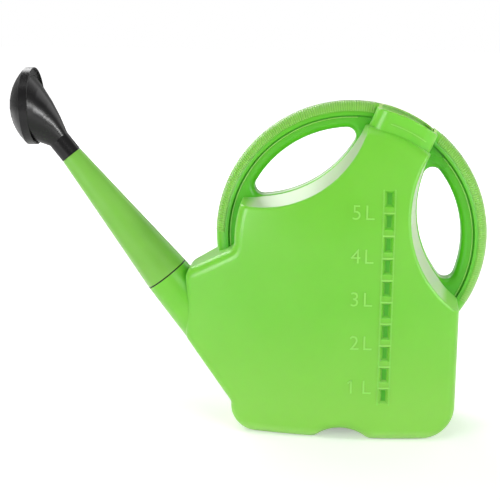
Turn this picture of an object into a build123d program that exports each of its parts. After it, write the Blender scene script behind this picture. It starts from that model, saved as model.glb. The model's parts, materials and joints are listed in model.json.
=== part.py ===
from build123d import *
import math
import os

os.makedirs("parts", exist_ok=True)

# Sizes in millimetres. The spout points to -X, the rear is +X, and the can stands on Z = 0.
wall = 1.8  # skin of the blow-moulded tank
fit = 0.3  # space between pushed-together pieces

# Vessel, seen from the side
half_length = 112
front_foot_round = 25
rear_foot_round = 33
flank_round = 12
arch_half = 26  # finger hold across the base
arch_rise = 10
arch_lip = 14

# Wedge that carries the spout in front of the vessel
wedge_reach = 48  # past the front wall
wedge_top = 161.3
wedge_rise = 28.5  # degrees
wedge_bottom = 91
wedge_foot = 29  # height where its underside meets the front wall
wedge_round = 14
wedge_blend = 10
foot_blend = 5
rear_shoulder_round = 40

# Flanks, bowed outwards in plan and leaning in towards the top
middle_half = 57
flank_bow = 475
flank_back = 14  # widest place, behind the middle of the base
lean_start = 190
lean_bow = 312

# Handle ring, centred a little behind the middle of the base
ring_back = 4.4
ring_height = 197.4
shoulder_radius = half_length + 2  # vessel inside the ring
bead_inner = shoulder_radius + 8
bead_rise = 12.9
bead_half = 13.5
groove_wide = 1.6
groove_deep = 1.5
web_half = 12
web_round = 7
ring_radius = bead_inner + bead_rise
ring_foot_front = 203  # degrees from +X
ring_foot_rear = -52

# Two equal grip holes, one on each side of the filler
filler_angle = 66  # degrees from +X
hole_spread = 56  # hole axis from the filler axis, degrees
hole_outer = shoulder_radius - 4.7  # outer edge, a radius about the ring's centre
hole_bow = hole_outer + 3.2  # tank-side edge, a radius about a point on the hole's axis
hole_depth = 41.6
hole_draft = 9  # degrees
hole_round = 9
hole_edge_round = 3

# Filler neck, which stands out of the shoulder between the holes
filler_half_long = 32
filler_half_wide = 31
filler_corner = 14
filler_edge_round = 1.2
filler_top = ring_radius - 2.6  # from the ring's centre
filler_sink = 25  # under the shoulder
mouth_wall = 2.6
mouth_end = 4

# Spout stub and the plug-in neck at its end
spout_rise = 51.35  # degrees
joint_reach = half_length + 69.2  # in front of the middle of the base
joint_height = 152.1
joint_radius = 23.4
stub_taper = 1.5  # degrees
stub_length = 70
plug_length = 30
joint_gap = 0.8

# Spout tube
tube_length = 154.2
tip_radius = 11
tube_wall = 1.9
throat_length = 14
nozzle_length = 16
nozzle_wall = 1.6

# Rose
rose_neck = 20
rose_wall = 1.8
rose_reach = 42  # end of its neck to the middle of its rim
rose_dip = 2  # face below level, degrees
funnel_rim = 34
funnel_swell = 3  # outward bow of its upper side
funnel_steps = 4
flange_radius = funnel_rim + 2.4
flange_thick = 4.5
skirt_wall = 1.6
skirt_depth = 8
dome_rise = 17
spray_hole = 1.7
spray_sides = 6
spray_rings = 4
spray_pitch = 7.6

# Litre scale, a column of pockets in the near flank
scale_back = 40.4  # behind the middle of the base
scale_first = 40  # bottom of the lowest pocket
scale_pitch = 21.8
scale_count = 10
pocket_wide = 9
pocket_high = 15.5
pocket_deep = 2.2
pocket_draft = 40  # degrees

# Places that follow from the sizes
beyond = 3 * half_length  # past the can from any place on it
spout_slope = math.radians(spout_rise)
spout_run = math.cos(spout_slope) * (tube_length + fit + rose_neck + rose_reach)
front_reach = joint_reach + spout_run + flange_thick / 2 + dome_rise + skirt_wall
tank_x = (front_reach - ring_back - ring_radius) / 2  # the origin is under the middle of the can
tube_slope = (joint_radius - tip_radius) / tube_length
arch_radius = (arch_half**2 + arch_rise**2) / (2 * arch_rise)
hole_far = hole_outer - hole_depth + hole_bow
nozzle_radius = tip_radius - rose_wall - fit
tip_bore = nozzle_radius - nozzle_wall


def turned(angle):
    """Direction in the middle plane, in degrees from +X towards +Z."""
    return Vector(math.cos(math.radians(angle)), 0, math.sin(math.radians(angle)))


def upright(origin):
    """Plane of the can's side view through a point."""
    return Plane(origin, x_dir=(1, 0, 0), z_dir=(0, -1, 0))


def facing(origin, direction):
    """Plane through a point of the middle plane, square to a direction in that plane."""
    return Plane(origin, x_dir=(0, 1, 0), z_dir=direction)


base_point = Vector(tank_x, 0, 0)
ring_point = Vector(tank_x + ring_back, 0, ring_height)
hole_angles = (filler_angle + hole_spread, filler_angle - hole_spread)
spout_dir = turned(180 - spout_rise)
spout_up = turned(90 - spout_rise)
joint_point = Vector(tank_x - joint_reach, 0, joint_height)
spout_axis = Axis(joint_point, spout_dir)
spout_side = Plane(joint_point, x_dir=spout_up, z_dir=(0, -1, 0))
face_dir = turned(180 + rose_dip)
face_up = turned(90 + rose_dip)
neck_start = joint_point + spout_dir * (tube_length + fit)
neck_end = neck_start + spout_dir * rose_neck
rim_point = neck_end + spout_dir * rose_reach


def border(faces):
    """Edges that belong to only one of the faces."""
    edges = faces.edges()
    return [edge for edge in edges if edges.count(edge) == 1]


def plug_radius(along):
    """Outside of the plug-in neck, a distance past the joint."""
    return joint_radius - tube_slope * along - tube_wall - fit


def barrel(side, inset):
    """Round body whose near side is one bowed and leaning flank."""
    pole = base_point + Vector(flank_back, side * (flank_bow - middle_half), 0)
    radius = flank_bow - inset
    top = ring_height + ring_radius
    top_radius = radius - lean_bow + math.sqrt(lean_bow**2 - (top - lean_start) ** 2)
    with BuildPart() as body:
        with BuildSketch(Plane(pole, x_dir=(0, -side, 0), z_dir=(-side, 0, 0))):
            with BuildLine():
                Polyline((radius, lean_start), (radius, 0), (0, 0), (0, top), (top_radius, top))
                RadiusArc((top_radius, top), (radius, lean_start), lean_bow)
            make_face()
        revolve(axis=Axis(pole, (0, 0, 1)))
    return body.part


def slab(inset):
    """Side outline of the vessel and its wedge between the two flanks, moved inwards by the inset."""
    tip = -half_length - wedge_reach
    wedge_slope = math.tan(math.radians(wedge_rise))
    wedge_end = wedge_top + wedge_slope * wedge_reach
    rear_top = ring_height + math.sqrt(shoulder_radius**2 - (half_length - ring_back) ** 2)
    rounds = {
        (-half_length, 0): front_foot_round,
        (-arch_half, 0): arch_lip,
        (arch_half, 0): arch_lip,
        (half_length, 0): rear_foot_round,
        (half_length, rear_top): rear_shoulder_round,
        (-half_length, wedge_end): wedge_blend,
        (tip, wedge_top): wedge_round,
        (tip, wedge_bottom): wedge_round,
        (-half_length, wedge_foot): foot_blend,
    }
    with BuildPart() as form:
        with BuildSketch(upright(base_point)) as outline:
            with BuildLine():
                Polyline(
                    (-half_length, 0),
                    (half_length, 0),
                    (half_length, ring_height),
                    (half_length + tip, wedge_top + wedge_slope * half_length),
                    (tip, wedge_top),
                    (tip, wedge_bottom),
                    (-half_length, wedge_foot),
                    close=True,
                )
            make_face()
            with Locations((ring_back, ring_height)):
                Circle(shoulder_radius)
            with Locations((half_length, 0)):
                Rectangle(2 * beyond, 2 * beyond, align=(Align.MAX, Align.CENTER), mode=Mode.INTERSECT)
            with Locations((0, arch_rise - arch_radius)):
                Circle(arch_radius, mode=Mode.SUBTRACT)
            for corner, radius in rounds.items():
                fillet(outline.vertices().sort_by_distance(corner)[0], radius)
            if inset:
                offset(amount=-inset, mode=Mode.REPLACE)
        extrude(amount=beyond, both=True)
        for side in (1, -1):
            add(barrel(side, inset), mode=Mode.INTERSECT)
    return form.part


def vessel(inset):
    """Slab with rounded edges, cut away round the grip holes by cones that open towards both flanks."""
    deep = 2 * middle_half
    throat = hole_bow + inset
    flare = throat + deep * math.tan(math.radians(hole_draft))
    with BuildPart() as form:
        add(slab(inset))
        flanks = form.faces().filter_by(lambda face: abs(face.center().Y) > middle_half / 2)
        fillet(border(flanks), flank_round - inset)
        for angle in hole_angles:
            point = ring_point + turned(angle) * hole_far
            with BuildSketch(Plane(point)):
                with BuildLine():
                    Polyline(
                        (0, deep), (flare, deep), (throat, 0), (flare, -deep), (0, -deep), close=True
                    )
                make_face()
            revolve(axis=Axis(point, (0, 1, 0)), mode=Mode.SUBTRACT)
        if not inset:
            fillet(border(form.faces().filter_by(GeomType.CONE)), hole_edge_round)
    return form.part


def grip_hole(angle, grow):
    """Lens-shaped hole with rounded ends, about the ring's centre."""
    far = turned(angle) * hole_far
    with BuildSketch() as lens:
        Circle(hole_outer + grow)
        with Locations((far.X, far.Z)):
            Circle(hole_bow + grow, mode=Mode.INTERSECT)
        fillet(lens.vertices(), hole_round + grow)
    return lens.sketch


def ring_plate(inset):
    """Thin plate that fills the ring round the two grip holes; only its outside needs round edges."""
    with BuildPart() as plate:
        with BuildSketch(upright(ring_point)):
            Circle(bead_inner - groove_wide - inset)
            for angle in hole_angles:
                add(grip_hole(angle, inset), mode=Mode.SUBTRACT)
        extrude(amount=web_half - inset, both=True)
        sides = plate.faces().sort_by(Axis.Y)
        for face in (sides[0], sides[-1]):
            edges = [edge for wire in face.inner_wires() for edge in wire.edges()]
            if inset:
                chamfer(edges, web_round - inset)
            else:
                fillet(edges, web_round)
    return plate.part


def ring_bead(inset):
    """Round outer bead of the handle, from its front foot to its rear foot."""
    half = bead_half - inset
    inner = bead_inner + inset
    floor = web_half - groove_deep - inset
    with BuildPart() as bead:
        start = Plane(ring_point, x_dir=turned(ring_foot_rear), z_dir=turned(ring_foot_rear + 90))
        with BuildSketch(start):
            with BuildLine():
                ThreePointArc((inner, half), (ring_radius - inset, 0), (inner, -half))
                Line((inner, -half), (inner, half))
            make_face()
            with Locations((bead_inner - groove_wide / 2, 0)):
                Rectangle(groove_wide + 2 * (wall + inset), 2 * floor)
        revolve(axis=Axis(ring_point, (0, -1, 0)), revolution_arc=ring_foot_front - ring_foot_rear)
    return bead.part


def filler_plane(height):
    """Plane across the filler's axis, a height from the ring's centre."""
    up = turned(filler_angle)
    return Plane(ring_point + up * height, x_dir=turned(filler_angle - 90), z_dir=up)


def filler(inset):
    """Neck with round corners, whose rim follows the ring."""
    long = filler_half_long - inset
    wide = filler_half_wide - inset
    with BuildPart() as neck:
        with BuildSketch(filler_plane(shoulder_radius - filler_sink)):
            RectangleRounded(2 * long, 2 * wide, filler_corner - inset)
        extrude(amount=beyond)
        with BuildSketch(upright(ring_point)):
            Circle(filler_top - inset)
        extrude(amount=beyond, both=True, mode=Mode.INTERSECT)
        if not inset:
            rim = neck.faces().sort_by_distance(ring_point + turned(filler_angle) * filler_top)[0]
            fillet(rim.edges(), filler_edge_round)
    return neck.part


def stub(inset):
    """Cone that leaves the wedge, with the narrower neck that the tube is pushed over."""
    root = joint_radius + stub_length * math.tan(math.radians(stub_taper)) - inset
    plug_end = plug_length + 2 * inset
    with BuildPart() as cone:
        with BuildSketch(spout_side):
            with BuildLine():
                Polyline(
                    (0, -stub_length),
                    (root, -stub_length),
                    (joint_radius - inset, -inset),
                    (plug_radius(0) - inset, -inset),
                    (plug_radius(plug_end) - inset, plug_end),
                    (0, plug_end),
                    close=True,
                )
            make_face()
        revolve(axis=spout_axis)
    return cone.part


def tank_form(inset):
    """All of the tank's outer shape, moved inwards by the inset."""
    with BuildPart() as form:
        add(vessel(inset))
        add(ring_plate(inset))
        add(ring_bead(inset))
        add(filler(inset))
        add(stub(inset))
    return form.part


def flank_plane(back, height):
    """Plane that touches the near flank at a place behind the middle of the base."""
    lean = max(math.asin((height - lean_start) / lean_bow), 0)
    radius = flank_bow - lean_bow * (1 - math.cos(lean))
    turn = math.asin((back - flank_back) / radius)
    outward = Vector(math.sin(turn), -math.cos(turn), 0)
    pole = base_point + Vector(flank_back, flank_bow - middle_half, height)
    normal = outward * math.cos(lean) + Vector(0, 0, math.sin(lean))
    return Plane(pole + outward * radius, x_dir=(math.cos(turn), math.sin(turn), 0), z_dir=normal)


def scale_pockets(grow):
    """Column of drafted pockets in the near flank, grown outwards on all sides for their hidden backs."""
    with BuildPart() as pockets:
        for step in range(scale_count):
            middle = scale_first + pocket_high / 2 + step * scale_pitch
            with BuildSketch(flank_plane(scale_back, middle)):
                Rectangle(pocket_wide + 2 * grow, pocket_high + 2 * grow)
            extrude(amount=-pocket_deep - grow, taper=pocket_draft)
    return pockets.part


# Hollow of the tank, which goes round the backs of the pockets
with BuildPart() as hollow:
    add(tank_form(wall))
    add(scale_pockets(wall), mode=Mode.SUBTRACT)

# Tank: the outer shape, less the hollow and the mouth
with BuildPart() as tank:
    add(tank_form(0))
    add(scale_pockets(0), mode=Mode.SUBTRACT)
    add(hollow.part, mode=Mode.SUBTRACT)
    with BuildSketch(filler_plane(shoulder_radius)):
        RectangleRounded(
            2 * (filler_half_long - mouth_end),
            2 * (filler_half_wide - mouth_wall),
            filler_corner - mouth_wall,
        )
    extrude(amount=beyond, mode=Mode.SUBTRACT)
tank.part.label = "tank"
export_step(tank.part, "parts/tank.step")

# Spout tube: tapered, with a throat and a stepped nozzle for the rose
foot_radius = joint_radius - tube_slope * joint_gap
with BuildPart() as spout_tube:
    with BuildSketch(spout_side):
        with BuildLine():
            Polyline(
                (foot_radius, joint_gap),
                (tip_radius, tube_length),
                (nozzle_radius, tube_length),
                (nozzle_radius, tube_length + nozzle_length),
                (tip_bore, tube_length + nozzle_length),
                (tip_bore, tube_length),
                (tip_radius + tube_slope * throat_length - tube_wall, tube_length - throat_length),
                (foot_radius - tube_wall, joint_gap),
                close=True,
            )
        make_face()
    revolve(axis=spout_axis)
spout_tube.part.label = "spout_tube"
export_step(spout_tube.part, "parts/spout_tube.step")


def funnel_circle(along, inset):
    """Cross-section of the bent funnel, a share of the way from its neck to its rim."""
    before = 1 - along
    swell = spout_up * (4 * along * before * funnel_swell)
    top = (neck_end + spout_up * tip_radius) * before + (rim_point + face_up * funnel_rim) * along + swell
    low = (neck_end - spout_up * tip_radius) * before + (rim_point - face_up * funnel_rim) * along
    across = top - low
    with BuildSketch(facing((top + low) / 2, Vector(0, -1, 0).cross(across))) as ring:
        Circle(across.length / 2 - inset)
    return ring.sketch.face()


def funnel(inset):
    """Round neck of the rose and its bent funnel, moved inwards by the inset."""
    with BuildPart() as horn:
        for step in range(funnel_steps):
            loft([funnel_circle(place / funnel_steps, inset) for place in (step, step + 1)])
        with BuildSketch(facing(neck_start, spout_dir)):
            Circle(tip_radius - inset)
        extrude(amount=rose_neck)
        with BuildSketch(facing(rim_point, face_dir)):
            Circle(funnel_rim - inset)
        extrude(amount=flange_thick / 2)
    return horn.part


# Rose housing: the hollow funnel with a flange at its rim
with BuildPart() as rose_housing:
    add(funnel(0))
    with BuildSketch(facing(rim_point, face_dir)):
        Circle(flange_radius)
    extrude(amount=flange_thick / 2, both=True)
    add(funnel(rose_wall), mode=Mode.SUBTRACT)
rose_housing.part.label = "rose_housing"
export_step(rose_housing.part, "parts/rose_housing.step")

# Rose face: a domed cap with a skirt round the flange, pierced by rings of spray holes
skirt_inner = flange_radius + fit
skirt_radius = skirt_inner + skirt_wall
skirt_end = skirt_wall - skirt_depth
cap_side = Plane(rim_point + face_dir * (flange_thick / 2), x_dir=face_up, z_dir=(0, -1, 0))
dome_radius = (skirt_radius**2 + dome_rise**2) / (2 * dome_rise)
dome_inner = dome_radius - skirt_wall
seat_top = math.sqrt(dome_inner**2 - funnel_rim**2) - dome_inner + dome_rise
with BuildPart() as rose_face:
    with BuildSketch(cap_side):
        with BuildLine():
            Polyline(
                (skirt_radius, skirt_wall),
                (skirt_radius, skirt_end),
                (skirt_inner, skirt_end),
                (skirt_inner, fit),
                (funnel_rim, fit),
                (funnel_rim, seat_top),
            )
            RadiusArc((funnel_rim, seat_top), (0, dome_rise), -dome_inner)
            Line((0, dome_rise), (0, dome_rise + skirt_wall))
            RadiusArc((skirt_radius, skirt_wall), (0, dome_rise + skirt_wall), -dome_radius)
        make_face()
    revolve(axis=Axis(rim_point, face_dir))
    with BuildSketch(facing(rim_point, face_dir)):
        RegularPolygon(spray_hole / 2, spray_sides)
        for ring in range(1, spray_rings):
            with PolarLocations(ring * spray_pitch, spray_sides * ring):
                RegularPolygon(spray_hole / 2, spray_sides)
    extrude(amount=beyond, mode=Mode.SUBTRACT)
rose_face.part.label = "rose_face"
export_step(rose_face.part, "parts/rose_face.step")
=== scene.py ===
# %% [markdown]
# A garden watering can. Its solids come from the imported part, which we call the frame. In this lesson we
# give them their materials, add what is too fine for the solids, such as grip ribs and numerals, and set up
# the camera and the light. Lengths are in metres, as in the frame, so sizes in millimetres are written with
# MM.

# %% Load the frame
import bmesh
import bpy
import json
import math
from mathutils import Matrix, Vector


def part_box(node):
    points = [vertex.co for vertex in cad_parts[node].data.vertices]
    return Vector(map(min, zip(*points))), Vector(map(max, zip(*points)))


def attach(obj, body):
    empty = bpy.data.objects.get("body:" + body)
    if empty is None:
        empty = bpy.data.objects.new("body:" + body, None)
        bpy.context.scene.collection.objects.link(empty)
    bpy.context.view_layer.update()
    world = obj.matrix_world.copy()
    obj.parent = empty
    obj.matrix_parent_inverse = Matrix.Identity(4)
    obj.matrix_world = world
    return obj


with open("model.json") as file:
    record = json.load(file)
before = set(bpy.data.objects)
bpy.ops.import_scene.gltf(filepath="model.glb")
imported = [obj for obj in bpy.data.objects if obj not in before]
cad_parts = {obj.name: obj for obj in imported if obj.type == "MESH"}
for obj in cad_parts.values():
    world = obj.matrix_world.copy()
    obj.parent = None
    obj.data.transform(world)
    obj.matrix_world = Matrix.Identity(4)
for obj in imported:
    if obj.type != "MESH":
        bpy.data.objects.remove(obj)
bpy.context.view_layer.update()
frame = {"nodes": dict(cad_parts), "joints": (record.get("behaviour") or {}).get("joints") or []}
nodes = frame["nodes"]
joints = {joint["name"]: joint for joint in frame["joints"]}
MM = 0.001
print("nodes:", sorted(nodes), "joints:", sorted(joints))

# %% [markdown]
# A colour is easiest to read off a picture as a hex code, which holds sRGB values, but shaders want linear
# light. We could convert each colour by hand. One function is safer, and every colour here goes through it.


# %% Colour helper
def linear(code):
    """Linear RGBA of an sRGB hex code."""
    parts = [int(code[i : i + 2], 16) / 255 for i in (1, 3, 5)]
    return tuple(c / 12.92 if c <= 0.04045 else ((c + 0.055) / 1.055) ** 2.4 for c in parts) + (1.0,)


WHITE = linear("#FFFFFF")
print("white in linear light:", WHITE)

# %% [markdown]
# A material is a small graph of nodes. It could be drawn in the Shader Editor, but a script can be read and
# run again. One function adds a node, sets its values and makes its links, so a material reads as a list of
# nodes.


# %% Node helper
def add_node(tree, kind, inputs=None, **settings):
    """A new node with its settings; an input is a value, or a socket to link from."""
    node = tree.nodes.new(kind)
    for key, value in settings.items():
        setattr(node, key, value)
    for key, value in (inputs or {}).items():
        if isinstance(value, bpy.types.NodeSocket):
            tree.links.new(value, node.inputs[key])
        else:
            node.inputs[key].default_value = value
    return node


# %% [markdown]
# Moulded plastic is never one flat colour, and a plain one would look like paint. Thick and thin places let
# different amounts of light through, so we mix two close colours with a broad noise. Recesses are painted a
# deeper colour, as painted shade; an ambient occlusion node finds such places. A surface seen at a low angle
# is painted paler, as a painted sheen; a layer weight node finds those.

# %% Colour of plastic
RECESS_REACH = 30 * MM
RECESS_SAMPLES = 6
RECESS_FULL, RECESS_NONE = 0.35, 0.95  # shares of open sky
EDGE_START, EDGE_END, EDGE_SHEEN_SHARE = 0.4, 0.9, 0.7


def plastic_colour(tree, patch, colours):
    """Colour socket; the colours are the painted shade of recesses, deep patches, pale patches and the
    painted sheen of edges.
    """
    recess_shade, deep, pale, edge = (linear(code) for code in colours)
    patched = add_node(
        tree, "ShaderNodeMix", {"Factor": patch, "A": deep, "B": pale}, data_type="RGBA"
    ).outputs["Result"]
    # painted shade: recesses found by ambient occlusion get the darker colour
    sky = add_node(
        tree,
        "ShaderNodeAmbientOcclusion",
        {"Distance": RECESS_REACH},
        samples=RECESS_SAMPLES,
        only_local=True,
    ).outputs["AO"]
    shallow = add_node(
        tree, "ShaderNodeMapRange", {"Value": sky, "From Min": RECESS_FULL, "From Max": RECESS_NONE}
    ).outputs["Result"]
    shaded = add_node(
        tree, "ShaderNodeMix", {"Factor": shallow, "A": recess_shade, "B": patched}, data_type="RGBA"
    ).outputs["Result"]
    # painted sheen: surfaces seen at a low angle get the pale edge colour
    turned = add_node(tree, "ShaderNodeLayerWeight").outputs["Facing"]
    edge_sheen_share = add_node(
        tree,
        "ShaderNodeMapRange",
        {"Value": turned, "From Min": EDGE_START, "From Max": EDGE_END, "To Max": EDGE_SHEEN_SHARE},
    ).outputs["Result"]
    return add_node(
        tree, "ShaderNodeMix", {"Factor": edge_sheen_share, "A": shaded, "B": edge}, data_type="RGBA"
    ).outputs["Result"]


# %% [markdown]
# The mould leaves a faint grain on plastic, and its gloss changes a little from patch to patch. A real
# grain is finer than a pixel here, so ours is drawn coarser to show. Subsurface scattering gives
# polyethylene its waxy depth. We could build each plastic by hand, but they differ only in a few values, so
# one function makes them all.

# %% Plastic material
IOR = 1.51  # polyethylene has 1.54 and polypropylene 1.49
PATCH_DETAIL, GRAIN_DETAIL = 3.0, 2.0
GRAIN_STRENGTH = 0.5
GLOSS_CHANGE = 0.06
SCATTER_SHARE = 0.6
SCATTER_REACH = (0.6, 1.0, 0.25)  # of red, green and blue light


def plastic(name, colours, patch_mm, grain_mm, grain_depth_mm, roughness, scatter_mm):
    """Procedural plastic; scatter_mm is how deep light scatters in it."""
    material = bpy.data.materials.new(name)
    material.use_nodes = True
    tree = material.node_tree
    tree.nodes.clear()
    spot = add_node(tree, "ShaderNodeTexCoord").outputs["Object"]
    patch = add_node(
        tree, "ShaderNodeTexNoise", {"Vector": spot, "Scale": 1 / (patch_mm * MM), "Detail": PATCH_DETAIL}
    ).outputs["Fac"]
    grain = add_node(
        tree, "ShaderNodeTexNoise", {"Vector": spot, "Scale": 1 / (grain_mm * MM), "Detail": GRAIN_DETAIL}
    ).outputs["Fac"]
    bump = add_node(
        tree,
        "ShaderNodeBump",
        {"Height": grain, "Strength": GRAIN_STRENGTH, "Distance": grain_depth_mm * MM},
    ).outputs["Normal"]
    gloss = add_node(
        tree,
        "ShaderNodeMapRange",
        {"Value": patch, "To Min": roughness - GLOSS_CHANGE, "To Max": roughness + GLOSS_CHANGE},
    ).outputs["Result"]
    shader = add_node(
        tree,
        "ShaderNodeBsdfPrincipled",
        {
            "Base Color": plastic_colour(tree, patch, colours),
            "Roughness": gloss,
            "Normal": bump,
            "IOR": IOR,
            "Subsurface Weight": SCATTER_SHARE if scatter_mm else 0.0,
            "Subsurface Radius": SCATTER_REACH,
            "Subsurface Scale": scatter_mm * MM,
        },
    ).outputs["BSDF"]
    add_node(tree, "ShaderNodeOutputMaterial", {"Surface": shader})
    print("material:", name)
    return material


# %% [markdown]
# The tank is blow-moulded high-density polyethylene (HDPE), which looks satin and waxy and lets a little
# light through. The spout tube is the same plastic in a duller green, from a rougher mould. The rose is
# injection-moulded polypropylene, so black that mostly its sheen shows its shape. We could reuse one
# material and change its colour, but each has its own gloss and depth, so each gets a material of its own.

# %% Materials of the solids
# In each set of colours the first is painted shade for recesses and the last a painted sheen for edges
TANK_COLOURS = ("#46B40E", "#78D038", "#82D645", "#A6E47C")
TUBE_COLOURS = ("#5AA828", "#7ABF42", "#87C851", "#BFE0A8")
ROSE_COLOURS = ("#050405", "#080708", "#100F10", "#2A2A2A")
tank_green = plastic(
    "green_hdpe",
    TANK_COLOURS,
    patch_mm=60,
    grain_mm=0.9,
    grain_depth_mm=0.02,
    roughness=0.3,
    scatter_mm=5,
)
tube_green = plastic(
    "green_tube_hdpe",
    TUBE_COLOURS,
    patch_mm=40,
    grain_mm=0.7,
    grain_depth_mm=0.02,
    roughness=0.4,
    scatter_mm=3,
)
rose_black = plastic(
    "black_polypropylene",
    ROSE_COLOURS,
    patch_mm=30,
    grain_mm=0.6,
    grain_depth_mm=0.01,
    roughness=0.26,
    scatter_mm=0,
)
dressed = {"tank": tank_green, "spout_tube": tube_green, "rose_housing": rose_black, "rose_face": rose_black}
for node, material in dressed.items():
    nodes[node].data.materials.clear()
    nodes[node].data.materials.append(material)
    print(node, "is of", material.name)

# %% [markdown]
# The tank is not the same green all over. Its deeper and paler places could be painted on a UV map, but a
# moulding of this shape has no simple one. Instead we measure: how far a spot is from the centre of the
# handle ring, how far to the side and how high. The ring reaches as far to the rear as the tank does, which
# gives its centre.

# %% Measure on the tank
RING_RADIUS = 134.9 * MM
RING_HEIGHT = 197.4 * MM
tank_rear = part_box("tank")[1].x
RING_CENTRE = Vector((tank_rear - RING_RADIUS, 0, RING_HEIGHT))
tank_tree = tank_green.node_tree
tank_shader = next(node for node in tank_tree.nodes if node.type == "BSDF_PRINCIPLED")
coords = add_node(tank_tree, "ShaderNodeTexCoord")
spot = coords.outputs["Object"]
from_ring = add_node(
    tank_tree, "ShaderNodeVectorMath", {0: spot, 1: RING_CENTRE}, operation="SUBTRACT"
).outputs["Vector"]
in_plane = add_node(
    tank_tree, "ShaderNodeVectorMath", {0: from_ring, 1: (1, 0, 1)}, operation="MULTIPLY"
).outputs["Vector"]
from_centre = add_node(tank_tree, "ShaderNodeVectorMath", {0: in_plane}, operation="LENGTH").outputs["Value"]
spot_parts = add_node(tank_tree, "ShaderNodeSeparateXYZ", {0: spot})
height = spot_parts.outputs["Z"]
to_side = add_node(
    tank_tree, "ShaderNodeMath", {0: spot_parts.outputs["Y"]}, operation="ABSOLUTE"
).outputs["Value"]
print("centre of the ring, mm:", [round(value / MM, 1) for value in RING_CENTRE])

# %% [markdown]
# A tint is a colour that is mixed on where a mask is more than nothing. A mask with a hard edge would look
# printed, so each one is a product of smooth steps along the measured distances.


# %% Tint helpers
def mask(value, *steps):
    """Product of smooth steps; a step is a distance, where it is 0 and where it is 1, in millimetres."""
    for distance, none, full in steps:
        step = add_node(
            tank_tree,
            "ShaderNodeMapRange",
            {"Value": distance, "From Min": none * MM, "From Max": full * MM},
        )
        product = add_node(
            tank_tree, "ShaderNodeMath", {0: value, 1: step.outputs["Result"]}, operation="MULTIPLY"
        )
        value = product.outputs["Value"]
    return value


def tint(name, amount, code):
    """Mixes a colour onto the tank's own by an amount."""
    own = tank_shader.inputs["Base Color"].links[0].from_socket
    mixed = add_node(
        tank_tree, "ShaderNodeMix", {"Factor": amount, "A": own, "B": linear(code)}, data_type="RGBA"
    ).outputs["Result"]
    tank_tree.links.new(mixed, tank_shader.inputs["Base Color"])
    print("tint:", name, code)


# %% [markdown]
# The web inside the handle ring and the foot of its bead are painted a deeper green than the flank, as
# painted shade, for they lie recessed beside the bead. Pieces laid over them would hide the edges of the
# moulding, so they are tints. Each lies between two radii and near the middle plane of the can.

# %% Web and bead
WEB_SHADE_SHARE, BEAD_SHADE_SHARE = 0.75, 0.6
WEB_INNER, WEB_OUTER, WEB_SIDE = (96, 102), (121.5, 120.5), (14, 12.5)
BEAD_INNER, BEAD_OUTER, BEAD_SIDE = (120.5, 121.5), (127.5, 126), (15, 14)
web = mask(WEB_SHADE_SHARE, (from_centre, *WEB_INNER), (from_centre, *WEB_OUTER), (to_side, *WEB_SIDE))
bead = mask(BEAD_SHADE_SHARE, (from_centre, *BEAD_INNER), (from_centre, *BEAD_OUTER), (to_side, *BEAD_SIDE))
# painted shade on the web and on the foot of the bead
tint("web", web, "#4FBE1A")
tint("foot of the bead", bead, "#4FBE1A")

# %% [markdown]
# The walls of the grip holes get a painted sheen: almost white where we see them at a low angle. Painted
# pale all over, they would look wrong from the rear. So this mask takes the walls, which do not face to the
# side, and keeps the painted sheen only where we see them at a low angle.

# %% Walls of the grip holes
WALL_SHEEN_SHARE = 0.75
WALL_OUTER = (110, 101)
FLANK_FACING, WALL_FACING = 0.5, 0.25  # how far a surface faces to the side
SLANT_START, SLANT_END = 0.35, 0.65
faces_y = add_node(tank_tree, "ShaderNodeSeparateXYZ", {0: coords.outputs["Normal"]}).outputs["Y"]
sideways = add_node(tank_tree, "ShaderNodeMath", {0: faces_y}, operation="ABSOLUTE").outputs["Value"]
edgewise = add_node(
    tank_tree,
    "ShaderNodeMapRange",
    {"Value": sideways, "From Min": FLANK_FACING, "From Max": WALL_FACING, "To Max": WALL_SHEEN_SHARE},
).outputs["Result"]
turned = add_node(tank_tree, "ShaderNodeLayerWeight").outputs["Facing"]
slanted = add_node(
    tank_tree, "ShaderNodeMapRange", {"Value": turned, "From Min": SLANT_START, "From Max": SLANT_END}
).outputs["Result"]
wall_sheen = add_node(
    tank_tree, "ShaderNodeMath", {0: edgewise, 1: slanted}, operation="MULTIPLY"
).outputs["Value"]
# painted sheen on the walls of the grip holes
tint("walls of the grip holes", mask(wall_sheen, (from_centre, *WALL_OUTER)), "#DCF0CC")

# %% [markdown]
# Inside the filler neck the wall is painted paler, as painted light that stands in for light coming through
# the wall. The neck is a rectangle with round corners. A plain distance from its middle would catch its
# outer corners, so we measure from the flat part of the rectangle, as one sets a compass to draw the
# corners.

# %% Inside of the filler
FILLER_LIGHT_SHARE = 0.8
FILLER_LEAN = math.radians(-24)  # of its rim, seen from the side
FILLER_FLATS = (18 * MM, 17 * MM)  # half lengths, along the ring and to the side
FILLER_CORNER = (13.3, 12.7)
FILLER_LOW = (112, 116)
FILLER_ALONG = Vector((math.cos(FILLER_LEAN), 0, math.sin(FILLER_LEAN)))
along_ring = add_node(
    tank_tree, "ShaderNodeVectorMath", {0: in_plane, 1: FILLER_ALONG}, operation="DOT_PRODUCT"
).outputs["Value"]
across = add_node(tank_tree, "ShaderNodeMath", {0: along_ring}, operation="ABSOLUTE").outputs["Value"]
# A map range over a whole metre keeps a distance as it is, and stops at nothing inside the flat part
past_flat = [
    add_node(
        tank_tree, "ShaderNodeMapRange", {"Value": way, "From Min": flat, "From Max": flat + 1}
    ).outputs["Result"]
    for way, flat in zip((across, to_side), FILLER_FLATS)
]
corner = add_node(tank_tree, "ShaderNodeCombineXYZ", {0: past_flat[0], 1: past_flat[1]}).outputs["Vector"]
rounded = add_node(tank_tree, "ShaderNodeVectorMath", {0: corner}, operation="LENGTH").outputs["Value"]
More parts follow.
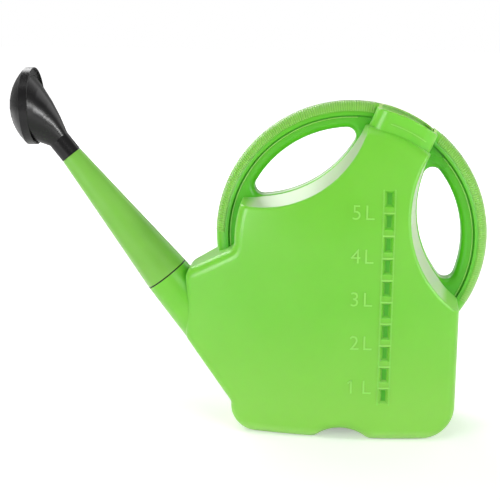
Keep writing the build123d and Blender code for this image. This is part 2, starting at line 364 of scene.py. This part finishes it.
# painted light on the inside of the filler neck
tint("filler", mask(FILLER_LIGHT_SHARE, (from_centre, *FILLER_LOW), (rounded, *FILLER_CORNER)), "#C4EC96")

# %% [markdown]
# Towards the ground the flank is paler, because the white floor lights it from below, and the lowest edge
# of the feet most of all. A stronger lamp from below would brighten the whole can, so two tints by height
# do this.

# %% Lower flank and feet
LOW_SHARE, FOOT_SHARE = 0.45, 0.6
LOW_HEIGHT, FOOT_HEIGHT = (130, 30), (12, 1)
tint("lower flank", mask(LOW_SHARE, (height, *LOW_HEIGHT)), "#A0DC60")
tint("feet", mask(FOOT_SHARE, (height, *FOOT_HEIGHT)), "#C0EE94")

# %% [markdown]
# A dark line of painted shade lies in the corner at the root of the tank's plug-in neck, in the joint
# between the stub and the tube. A dark ring of its own would have to fit in the gap, so we darken the tank's
# material there. The corner is found by its distance along the spout from the joint. The painted shade gets
# no scattering, so it stays dark.

# %% Painted shade in the joint
JOINT = Vector(joints["rose_turn"]["pos_m"])
SPOUT = Vector(joints["rose_turn"]["axis"])
JOINT_SHADE_MIDDLE, JOINT_SHADE_HALF, JOINT_SHADE_REACH = 0.35 * MM, 0.85 * MM, 30 * MM
from_joint = add_node(
    tank_tree, "ShaderNodeVectorMath", {0: spot, 1: JOINT}, operation="SUBTRACT"
).outputs["Vector"]
along_spout = add_node(
    tank_tree, "ShaderNodeVectorMath", {0: from_joint, 1: SPOUT}, operation="DOT_PRODUCT"
).outputs["Value"]
in_gap = add_node(
    tank_tree, "ShaderNodeMath", {0: along_spout, 1: JOINT_SHADE_MIDDLE, 2: JOINT_SHADE_HALF}, operation="COMPARE"
).outputs["Value"]
away = add_node(tank_tree, "ShaderNodeVectorMath", {0: from_joint}, operation="LENGTH").outputs["Value"]
close = add_node(
    tank_tree, "ShaderNodeMath", {0: away, 1: JOINT_SHADE_REACH}, operation="LESS_THAN"
).outputs["Value"]
joint_shade = add_node(tank_tree, "ShaderNodeMath", {0: in_gap, 1: close}, operation="MULTIPLY").outputs["Value"]
# painted shade: the dark line in the joint
tint("joint_shade", joint_shade, "#061004")
scatter = add_node(
    tank_tree, "ShaderNodeMapRange", {"Value": joint_shade, "To Min": SCATTER_SHARE, "To Max": 0.0}
).outputs["Result"]
tank_tree.links.new(scatter, tank_shader.inputs["Subsurface Weight"])

# %% [markdown]
# Every new piece ends the same way: its mesh becomes an object, which rides on one body of the can and
# takes one of the can's material slots. Several pieces are a section that is spun about an axis, so that is
# a helper too.


# %% Piece helpers
def add_piece(name, bm, body, material, smooth=False):
    """Object from a bmesh, joined to a body of the can."""
    bmesh.ops.recalc_face_normals(bm, faces=bm.faces)
    mesh = bpy.data.meshes.new(name)
    bm.to_mesh(mesh)
    bm.free()
    if smooth:
        mesh.shade_smooth()
    mesh.materials.append(material)
    piece = bpy.data.objects.new(name, mesh)
    bpy.context.scene.collection.objects.link(piece)
    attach(piece, body)
    print(name, "faces:", len(mesh.polygons))
    return piece


def sweep(bm, face, axis, start, end, steps):
    """Spins a face about an axis through the origin, from one angle to another, in degrees."""
    turn = Matrix.Rotation(math.radians(start), 3, Vector(axis))
    bmesh.ops.rotate(bm, verts=list(face.verts), cent=(0, 0, 0), matrix=turn)
    bmesh.ops.spin(
        bm,
        geom=[face, *face.edges, *face.verts],
        cent=(0, 0, 0),
        axis=axis,
        angle=math.radians(end - start),
        steps=steps,
    )


# %% [markdown]
# Each rib of the handle's HDPE catches the light, so the grips look paler and duller than the flank. The
# tank's own material would need one more mask for them, so a material of their own is simpler.

# %% Ribbed plastic
GRIP_COLOURS = ("#66C830", "#86DA4A", "#90E056", "#C8F0AC")
grip_green = plastic(
    "green_hdpe_ribbed",
    GRIP_COLOURS,
    patch_mm=60,
    grain_mm=0.9,
    grain_depth_mm=0.02,
    roughness=0.35,
    scatter_mm=5,
)

# %% [markdown]
# The handle's bead is ribbed where the hands hold it, once in front and once at the rear, with about two
# millimetres from rib to rib. A rib could be a piece that an array repeats, but hundreds of pieces would
# cross the bead. We spin a crescent about the ring's centre, in several steps to the rib, and push its
# outside in and out with a cosine, so that one closed sleeve carries all of the ribs.

# %% Grip ribs
BEAD_RISE, BEAD_HALF = 12.9 * MM, 13.5 * MM
BEAD_RADIUS = (BEAD_HALF**2 + BEAD_RISE**2) / (2 * BEAD_RISE)
BEAD_CENTRE = RING_RADIUS - BEAD_RADIUS
RIB_PITCH, RIB_HEIGHT = 2.3 * MM, 0.7 * MM
RIB_SUNK = 0.2  # share of the height, under the bead
STEPS_PER_RIB = 4
SLEEVE_HALF, SLEEVE_STEP = 72, 8  # degrees of the bead's section
RING_AXIS = (0, -1, 0)


def grip(name, start, end):
    """Ribbed sleeve on the bead between two angles, in degrees from +X towards +Z."""
    reach = math.radians(end - start)
    ribs = round(reach * (BEAD_CENTRE + BEAD_RADIUS) / RIB_PITCH)
    bm = bmesh.new()
    outside = [(BEAD_RADIUS, angle) for angle in range(-SLEEVE_HALF, SLEEVE_HALF + 1, SLEEVE_STEP)]
    inside = [(BEAD_RADIUS - RIB_HEIGHT, angle) for _, angle in reversed(outside)]
    crescent = []
    for radius, angle in outside + inside:
        out = BEAD_CENTRE + radius * math.cos(math.radians(angle))
        crescent.append(bm.verts.new((out, radius * math.sin(math.radians(angle)), 0)))
    sweep(bm, bm.faces.new(crescent), RING_AXIS, start, end, ribs * STEPS_PER_RIB)
    for vert in bm.verts:
        angle = math.atan2(vert.co.z, vert.co.x)
        turns = ribs * ((angle - math.radians(start)) % math.tau) / reach
        middle = Vector((math.cos(angle), 0, math.sin(angle))) * BEAD_CENTRE
        off = vert.co - middle
        if off.length > BEAD_RADIUS - RIB_HEIGHT / 2:
            lift = RIB_HEIGHT * (0.5 - RIB_SUNK - 0.5 * math.cos(math.tau * turns))
            vert.co = middle + off * ((off.length + lift) / off.length)
    bmesh.ops.translate(bm, verts=bm.verts, vec=RING_CENTRE)
    return add_piece(name, bm, "tank", grip_green, smooth=True)


grip("front_grip_ribs", start=81, end=179)
grip("rear_grip_ribs", start=-29, end=50)

# %% [markdown]
# The numerals and marks of the litre scale stand out of the near flank, which bows and leans. A Shrinkwrap
# modifier would flatten them onto it. So we make them flat, with U to the rear, V up and W outwards. Then
# every vertex goes to the place where a ray from the side meets the tank, and its height W is laid off
# along the normal there.

# %% Lay marks on the flank
RING_BACK = 4.4 * MM  # the ring's centre, behind the middle of the base
TANK_MIDDLE = RING_CENTRE.x - RING_BACK
RAY_START = -1  # beside the can, in metres
RAISED, SUNK = 0.55 * MM, 0.3 * MM


def lay_on_flank(bm):
    """Moves flat geometry with coordinates U, V, W onto the near flank of the tank."""
    graph = bpy.context.evaluated_depsgraph_get()
    for vert in bm.verts:
        u, v, w = vert.co
        start = Vector((TANK_MIDDLE + u, RAY_START, v))
        hit, place, normal, _ = nodes["tank"].ray_cast(start, (0, 1, 0), depsgraph=graph)
        assert hit
        vert.co = place + normal * w


print("middle of the tank, mm:", round(TANK_MIDDLE / MM, 1))

# %% [markdown]
# The raised marks are of the same HDPE as the flank. Their edges catch the light from all sides, so they
# look paler. A stronger lamp could not pick them out alone, so they get a paler plastic.

# %% Raised plastic
RAISED_COLOURS = ("#86DE4C", "#96EA60", "#A0F06C", "#C0F0A0")
raised_green = plastic(
    "green_hdpe_raised",
    RAISED_COLOURS,
    patch_mm=60,
    grain_mm=0.9,
    grain_depth_mm=0.01,
    roughness=0.3,
    scatter_mm=3,
)

# %% [markdown]
# The strokes of the numerals could be drawn one by one, but Blender's own font comes close. A text curve
# with a thickness is made a mesh. We measure the L of the font to get letters of the right height.

# %% Text helper
CAP_HEIGHT = 13.8 * MM
LETTER_SPACE = 1.23
LETTER_STEPS = 4
THINNER = -0.15 * MM


def flat_text(words, size):
    """Mesh of an extruded text with its base line on V = 0."""
    curve = bpy.data.curves.new("letters", "FONT")
    curve.body = words
    curve.size = size
    curve.space_character = LETTER_SPACE
    curve.resolution_u = LETTER_STEPS
    curve.extrude = (RAISED + SUNK) / 2
    curve.offset = THINNER
    holder = bpy.data.objects.new("letters", curve)
    bpy.context.scene.collection.objects.link(holder)
    graph = bpy.context.evaluated_depsgraph_get()
    mesh = bpy.data.meshes.new_from_object(holder.evaluated_get(graph))
    bpy.data.objects.remove(holder)
    bpy.data.curves.remove(curve)
    return mesh


letter_size = CAP_HEIGHT / max(vert.co.y for vert in flat_text("L", 1).vertices)
print("letter size, mm:", round(letter_size / MM, 2))

# %% [markdown]
# Each litre has its numeral and an L. The left end and the base line of each label were read off the
# picture. One text with five lines could not follow them, so each label is set by itself. The 1 gets a
# flag, a small slanted box, because the font's 1 is a plain bar.

# %% Numerals
LABELS = (
    ("5L", 4.4, 224.1),
    ("4L", 4.6, 181.7),
    ("3L", 4.6, 139.0),
    ("2L", 5.4, 95.1),
    ("1", 3.4, 50.0),
    ("L", 18.3, 50.0),
)
TOUCHING = 0.001 * MM
FLAG_LONG, FLAG_WIDE = 4.6 * MM, 1.3 * MM
FLAG_MIDDLE = (6.9 * MM, 61.9 * MM, (RAISED - SUNK) / 2)
FLAG_SLOPE = math.radians(42)
numerals = bmesh.new()
for words, left, base in LABELS:
    known = set(numerals.verts)
    numerals.from_mesh(flat_text(words, letter_size))
    fresh = [vert for vert in numerals.verts if vert not in known]
    bmesh.ops.translate(numerals, verts=fresh, vec=(left * MM, base * MM, (RAISED - SUNK) / 2))
bmesh.ops.remove_doubles(numerals, verts=numerals.verts, dist=TOUCHING)
flag_place = Matrix.Translation(FLAG_MIDDLE) @ Matrix.Rotation(FLAG_SLOPE, 4, "Z")
flag_size = Matrix.Diagonal((FLAG_LONG, FLAG_WIDE, RAISED + SUNK, 1))
bmesh.ops.create_cube(numerals, size=1, matrix=flag_place @ flag_size)
lay_on_flank(numerals)
add_piece("scale_numerals", numerals, "tank", raised_green)

# %% [markdown]
# Two thin rails run up beside the pockets of the scale. One long box would cut through the leaning flank, so
# each rail is a box that is cut across many times before it is laid on. The rails stand out less than the
# numerals, and their plastic is painted only a little paler than the flank, as a weaker painted highlight.

# %% Rails
# painted highlight: a little paler than the flank
RAIL_COLOURS = ("#7AD640", "#86DE4E", "#8EE45A", "#A8E880")
rail_green = plastic(
    "green_hdpe_rail",
    RAIL_COLOURS,
    patch_mm=60,
    grain_mm=0.9,
    grain_depth_mm=0.01,
    roughness=0.3,
    scatter_mm=3,
)
POCKET_MIDDLE = 40.4 * MM
RAIL_OUT, RAIL_WIDE = 5.6 * MM, 1.3 * MM
RAIL_LOW, RAIL_HIGH = 38.5 * MM, 253 * MM
RAIL_CUTS = 30


def add_bar(bm, low, high, cuts, raised):
    """Box between two corners in U and V, cut across V."""
    size = Vector((high[0] - low[0], high[1] - low[1], raised + SUNK))
    middle = Vector(((low[0] + high[0]) / 2, (low[1] + high[1]) / 2, (raised - SUNK) / 2))
    place = Matrix.Translation(middle) @ Matrix.Diagonal(size).to_4x4()
    box = bmesh.ops.create_cube(bm, size=1, matrix=place)["verts"]
    edges = dict.fromkeys(edge for vert in box for edge in vert.link_edges)
    upright = [edge for edge in edges if abs(edge.verts[0].co.y - edge.verts[1].co.y) > size.y / 2]
    if cuts:
        bmesh.ops.subdivide_edges(bm, edges=upright, cuts=cuts, use_grid_fill=True)


rails = bmesh.new()
for middle in (POCKET_MIDDLE - RAIL_OUT, POCKET_MIDDLE + RAIL_OUT):
    rail_corners = [(middle - RAIL_WIDE / 2, RAIL_LOW), (middle + RAIL_WIDE / 2, RAIL_HIGH)]
    add_bar(rails, *rail_corners, RAIL_CUTS, RAISED / 2)
lay_on_flank(rails)
add_piece("scale_rails", rails, "tank", rail_green)

# %% [markdown]
# A short bar above a pocket marks each half litre. The bars stand as high as the numerals and share their
# plastic. They are one more loop over the helper, at an even pitch from the bar of the first litre.

# %% Bars
BAR_FIRST, BAR_PITCH, BAR_COUNT = 56.2 * MM, 21.8 * MM, 9
BAR_HIGH = 1.4 * MM
bars = bmesh.new()
for step in range(BAR_COUNT):
    low = BAR_FIRST + step * BAR_PITCH - BAR_HIGH / 2
    bar_corners = [(POCKET_MIDDLE - RAIL_OUT, low), (POCKET_MIDDLE + RAIL_OUT, low + BAR_HIGH)]
    add_bar(bars, *bar_corners, 0, RAISED)
lay_on_flank(bars)
add_piece("scale_marks", bars, "tank", raised_green)

# %% [markdown]
# The floors of the pockets lie deep, where less light reaches the HDPE, so they look darker and duller than
# the flank. A mask on the tank would blur over the edge of a pocket. A thin pad of painted shade on each
# floor keeps a crisp edge.

# %% Pocket floors
SHADE_COLOURS = ("#3FB40C", "#46B812", "#50C01E", "#60C430")
shade_green = plastic(
    "green_hdpe_shade",
    SHADE_COLOURS,
    patch_mm=20,
    grain_mm=0.9,
    grain_depth_mm=0.01,
    roughness=0.5,
    scatter_mm=3,
)
PAD_LOW, PAD_HIGH, PAD_WIDE, PAD_THICK = 42.5 * MM, 11 * MM, 4 * MM, 0.1 * MM
pads = bmesh.new()
for step in range(BAR_COUNT + 1):
    low = PAD_LOW + step * BAR_PITCH
    left = POCKET_MIDDLE - PAD_WIDE / 2
    add_bar(pads, (left, low), (left + PAD_WIDE, low + PAD_HIGH), 0, PAD_THICK)
lay_on_flank(pads)
# painted shade on the floors of the pockets
add_piece("pocket_floors", pads, "tank", shade_green)

# %% [markdown]
# A fine pale line, a painted highlight, runs along the edge of the ring's web, beside the groove at the foot
# of the bead. The groove itself is shallow, so a second, deeper green line lies in it as painted shade. A
# curve with a round bevel could make them; spun circles give closed meshes at once. Both lines are on both
# sides of the can.

# %% Groove lines
LINE_SIDES = 8
LINE_ENDS = ((88, 190), (-42, 43))  # degrees from +X towards +Z, in front and at the rear


def arcs(name, radius, side, thick, material):
    """Round lines at a radius about the ring and a distance to each side."""
    bm = bmesh.new()
    for start, end in LINE_ENDS:
        for y in (-side, side):
            circle = bmesh.ops.create_circle(bm, cap_ends=True, segments=LINE_SIDES, radius=thick)["verts"]
            bmesh.ops.translate(bm, verts=circle, vec=(radius, y, 0))
            sweep(bm, circle[0].link_faces[0], RING_AXIS, start, end, end - start)
    bmesh.ops.translate(bm, verts=bm.verts, vec=RING_CENTRE)
    return add_piece(name, bm, "tank", material, smooth=True)


# painted highlight along the edge of the web
arcs("web_edge_highlight", radius=119.7 * MM, side=11.9 * MM, thick=0.5 * MM, material=raised_green)
# painted shade in the groove
arcs("groove_shade", radius=121.2 * MM, side=10.7 * MM, thick=0.8 * MM, material=shade_green)

# %% [markdown]
# The same painted highlight goes on across the near side of the filler neck. The neck bows, so a round line
# would dive in and out of it. This one is a flat strip, spun in the plane of U and V and then laid on as the
# numerals were.

# %% Neck line
LINE_RADIUS, LINE_WIDE = 121 * MM, 0.9 * MM
LINE_START, LINE_END = 55, 73  # degrees
neck_strip = bmesh.new()
across_strip = ((-1, -SUNK), (1, -SUNK), (1, RAISED / 2), (-1, RAISED / 2))
strip_end = [neck_strip.verts.new((LINE_RADIUS + way * LINE_WIDE / 2, 0, w)) for way, w in across_strip]
sweep(neck_strip, neck_strip.faces.new(strip_end), (0, 0, 1), LINE_START, LINE_END, LINE_END - LINE_START)
bmesh.ops.translate(neck_strip, verts=neck_strip.verts, vec=(RING_BACK, RING_HEIGHT, 0))
lay_on_flank(neck_strip)
# painted highlight across the filler neck
add_piece("neck_edge_highlight", neck_strip, "tank", raised_green)

# %% [markdown]
# The face of the rose is a dome, a part of a sphere. The rims that come next lie on it. We could search the
# mesh for each hole, but the frame's joints and a few sizes of the rose give the centre of the sphere.

# %% Dome of the rose
FACE = Vector(joints["rose_face_pull"]["axis"])
FACE_SIDE = Vector((0, 1, 0))
FACE_UP = FACE_SIDE.cross(FACE)
ROSE_REACH = 216.5 * MM  # along the spout, to the middle of the rose's flange
FLANGE_HALF, SKIRT_WALL, SKIRT_RADIUS, DOME_RISE = 2.25 * MM, 1.6 * MM, 38.3 * MM, 17 * MM
DOME_RADIUS = (SKIRT_RADIUS**2 + DOME_RISE**2) / (2 * DOME_RISE)
DOME_CENTRE = JOINT + SPOUT * ROSE_REACH + FACE * (FLANGE_HALF + SKIRT_WALL + DOME_RISE - DOME_RADIUS)
print("dome radius, mm:", round(DOME_RADIUS / MM, 1))

# %% [markdown]
# The spray holes of the rose are round. Their solids are six-sided, to keep the part light. A finer cut
# would change the solids, so a thin round rim lies on the dome about each hole. The holes stand in rings
# about the middle of the face, with six more in each ring.

# %% Spray rims
SPRAY_RINGS, SPRAY_PITCH, SPRAY_MORE = 4, 7.6 * MM, 6
RIM_IN, RIM_OUT, RIM_LIFT, RIM_STEPS = 0.72 * MM, 1.05 * MM, 0.1 * MM, 16
RIM_SECTION = ((RIM_IN, -RIM_LIFT), (RIM_OUT, -RIM_LIFT), (RIM_OUT, RIM_LIFT), (RIM_IN, RIM_LIFT))


def add_rim(bm, normal):
    """Round rim on the dome where it faces along the normal."""
    known = set(bm.verts)
    corners = [bm.verts.new((radius, 0, high)) for radius, high in RIM_SECTION]
    sides = [bm.edges.new((corners[i - 1], corners[i])) for i in range(len(corners))]
    bmesh.ops.spin(
        bm,
        geom=corners + sides,
        cent=(0, 0, 0),
        axis=(0, 0, 1),
        angle=math.tau,
        steps=RIM_STEPS,
        use_merge=True,
    )
    fresh = [vert for vert in bm.verts if vert not in known]
    bmesh.ops.rotate(bm, verts=fresh, cent=(0, 0, 0), matrix=normal.to_track_quat("Z", "Y").to_matrix())
    bmesh.ops.translate(bm, verts=fresh, vec=DOME_CENTRE + normal * DOME_RADIUS)


rims = bmesh.new()
for ring in range(SPRAY_RINGS):
    count = SPRAY_MORE * ring or 1
    for step in range(count):
        angle = math.tau * step / count
        off = (FACE_SIDE * math.cos(angle) + FACE_UP * math.sin(angle)) * (ring * SPRAY_PITCH)
        add_rim(rims, (off + FACE * math.sqrt(DOME_RADIUS**2 - off.length_squared)).normalized())
add_piece("spray_rims", rims, "face", rose_black)

# %% [markdown]
# The camera stands in front of the near flank, a little above the can. It could be aimed by eye, but then
# no outline would fit. Its place and lens were found by laying the outline of the solids over the picture.

# %% Camera
AZIMUTH, ELEVATION, ROLL = (math.radians(degrees) for degrees in (4.434, 12.88, 0.48))
DISTANCE = 1.231015
TARGET = Vector((0, 0, 0.18))
PICTURE = 500  # pixels
FOCAL_PIXELS = 1215.286
MIDDLE_X, MIDDLE_Y = 247.55, 249.11
flat = math.cos(ELEVATION)
back = Vector((math.sin(AZIMUTH) * flat, -math.cos(AZIMUTH) * flat, math.sin(ELEVATION)))
level = Vector((math.cos(AZIMUTH), math.sin(AZIMUTH), 0))
tall = back.cross(level)
right = level * math.cos(ROLL) + tall * math.sin(ROLL)
up = tall * math.cos(ROLL) - level * math.sin(ROLL)
camera_data = bpy.data.cameras.new("camera")
camera_data.lens = FOCAL_PIXELS / PICTURE * camera_data.sensor_width
camera_data.shift_x = (PICTURE / 2 - MIDDLE_X) / PICTURE
camera_data.shift_y = (MIDDLE_Y - PICTURE / 2) / PICTURE
camera = bpy.data.objects.new("camera", camera_data)
camera_turn = Matrix((right, up, back)).transposed().to_4x4()
camera.matrix_world = Matrix.Translation(TARGET + back * DISTANCE) @ camera_turn
bpy.context.scene.collection.objects.link(camera)
bpy.context.scene.camera = camera
print("lens:", round(camera_data.lens, 2), "mm")

# %% [markdown]
# The can stands on a floor that is part of the picture's stage and not of the can. A curved backdrop would
# do as well, but here the room behind is as white as the floor, so one flat square is enough.

# %% Floor
FLOOR_SIZE = 6
floor_grid = bmesh.new()
bmesh.ops.create_grid(floor_grid, x_segments=1, y_segments=1, size=FLOOR_SIZE)
floor_mesh = bpy.data.meshes.new("floor")
floor_grid.to_mesh(floor_mesh)
floor_grid.free()
floor = bpy.data.objects.new("floor", floor_mesh)
bpy.context.scene.collection.objects.link(floor)
print("floor faces:", len(floor_mesh.polygons))

# %% [markdown]
# The floor is white paper, and the picture's background is plain white. Lamps strong enough for that would
# bleach the can. So the paper has a matt white of its own, and to the camera alone it glows a little, less
# near the can, where its shadow has to stay.

# %% White paper
GLOW_NEAR, GLOW_FAR = 0.35, 0.9
NEAR, FAR = 0.3, 1.2  # metres from the middle of the can
paper = bpy.data.materials.new("white_paper")
paper.use_nodes = True
paper_tree = paper.node_tree
paper_tree.nodes.clear()
paper_seen = add_node(paper_tree, "ShaderNodeLightPath").outputs["Is Camera Ray"]
paper_spot = add_node(paper_tree, "ShaderNodeTexCoord").outputs["Object"]
from_can = add_node(paper_tree, "ShaderNodeVectorMath", {0: paper_spot}, operation="LENGTH").outputs["Value"]
fade = add_node(
    paper_tree,
    "ShaderNodeMapRange",
    {"Value": from_can, "From Min": NEAR, "From Max": FAR, "To Min": GLOW_NEAR, "To Max": GLOW_FAR},
).outputs["Result"]
strength = add_node(
    paper_tree, "ShaderNodeMath", {0: paper_seen, 1: fade}, operation="MULTIPLY"
).outputs["Value"]
glow = add_node(paper_tree, "ShaderNodeEmission", {"Color": WHITE, "Strength": strength}).outputs["Emission"]
matt = add_node(paper_tree, "ShaderNodeBsdfDiffuse", {"Color": linear("#F4F4F4")}).outputs["BSDF"]
both = add_node(paper_tree, "ShaderNodeAddShader", {0: matt, 1: glow}).outputs["Shader"]
add_node(paper_tree, "ShaderNodeOutputMaterial", {"Surface": both})
floor_mesh.materials.append(paper)
print("material:", paper.name)

# %% [markdown]
# Behind the paper is a white room. It is a world background of full white to the camera, and a dimmer one
# to the can, so that the room fills the shadows without washing out the green.

# %% Room
ROOM_LIGHT = 0.25
world = bpy.data.worlds.new("studio")
bpy.context.scene.world = world
world.use_nodes = True
world_tree = world.node_tree
world_tree.nodes.clear()
room_seen = add_node(world_tree, "ShaderNodeLightPath").outputs["Is Camera Ray"]
room_light = add_node(
    world_tree, "ShaderNodeMapRange", {"Value": room_seen, "To Min": ROOM_LIGHT, "To Max": 1.0}
).outputs["Result"]
room = add_node(
    world_tree, "ShaderNodeBackground", {"Color": WHITE, "Strength": room_light}
).outputs["Background"]
add_node(world_tree, "ShaderNodeOutputWorld", {"Surface": room})
print("room light on the can:", ROOM_LIGHT)

# %% [markdown]
# Soft lamps do the rest. Point lamps would draw hard shadows, so all are wide areas. A key stands in front
# at the spout's side and a weaker fill at the other side. A narrow strip at the right draws the bright
# streak along the rose. One lamp hangs overhead, and two behind the can put a sheen on the walls of the
# grip holes and on the rose.

# %% Lamps
CAN_MIDDLE = (0, 0, 0.15)
ROSE_SIDE = (-0.2, 0, 0.3)


def lamp(name, place, wide, high, power, aim=CAN_MIDDLE):
    """Area lamp that looks at a point, in metres and watts; the camera does not see the lamp itself."""
    data = bpy.data.lights.new(name, "AREA")
    data.shape = "RECTANGLE"
    data.size = wide
    data.size_y = high
    data.energy = power
    holder = bpy.data.objects.new(name, data)
    holder.location = place
    holder.rotation_euler = (Vector(aim) - Vector(place)).to_track_quat("-Z", "Y").to_euler()
    holder.visible_camera = False
    bpy.context.scene.collection.objects.link(holder)
    print("lamp:", name, power, "W")


lamp("key", (-1.7, -1.6, 0.55), 1.2, 1.0, 27)
lamp("fill", (1.6, -1.7, 0.55), 1.2, 1.0, 16)
lamp("strip", (1.7, -0.4, 0.6), 0.1, 0.45, 8, ROSE_SIDE)
lamp("overhead", (-0.1, -0.4, 2.0), 1.0, 1.0, 7)
lamp("behind_left", (-1.1, 1.45, 1.5), 2.2, 1.0, 28)
lamp("behind_right", (1.3, 1.5, 1.1), 1.4, 1.0, 4)
bpy.context.scene.view_settings.view_transform = "Standard"
